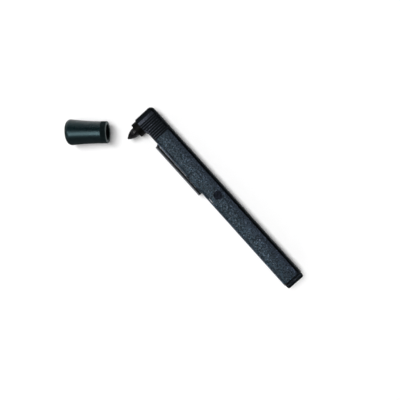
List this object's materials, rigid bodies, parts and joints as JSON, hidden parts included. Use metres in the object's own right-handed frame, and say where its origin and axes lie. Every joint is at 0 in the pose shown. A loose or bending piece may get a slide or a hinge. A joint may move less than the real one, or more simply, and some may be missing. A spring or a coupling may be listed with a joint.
{
  "type": "lens cleaning pen",
  "caption": "Flat pocket pen with an L-shaped head, a conical cleaning tip at right angles to the barrel, a side pocket clip and a tapered push-on cap lying beside it.",
  "frame": {"origin": "centre of the barrel's back face, halfway along the barrel moulding", "axes": "+X along the barrel to the head, +Y the way the cleaning tip points, +Z out of the front face"},
  "size_m": [0.1562, 0.0506, 0.0149],
  "materials": {
    "barrel_plastic": "fine spark texture on the faces, smoother long edges",
    "plug_plastic": "smooth satin",
    "clip_plastic": "smooth satin",
    "holder_plastic": "smooth satin",
    "tip_rubber": "soft",
    "tip_fabric": "fine matt suede",
    "cap_rubber": "soft sheen",
    "foam": "open-cell foam charged with fine carbon powder"
  },
  "bodies": {
    "pen": {"barrel": "barrel_plastic", "end_plug": "plug_plastic", "tip_holder": "holder_plastic", "tip_pad": "tip_rubber", "tip_skin": "tip_fabric"},
    "clip": {"pocket_clip": "clip_plastic"},
    "cap": {"cap": "cap_rubber", "cap_foam": "foam"}
  },
  "joints": [
    {"name": "clip_flex", "type": "hinge", "parent": "pen", "child": "clip", "pos_m": [0.0096, 0.0054, 0.005], "axis": [0, 0, 1], "range_deg": [0, 4.5], "stiffness_Nm_per_rad": 2},
    {"name": "cap_slide", "type": "slide", "parent": "pen", "child": "cap", "axis": [0.6681, 0.7441, 0], "range_m": [0, 0.06]}
  ]
}
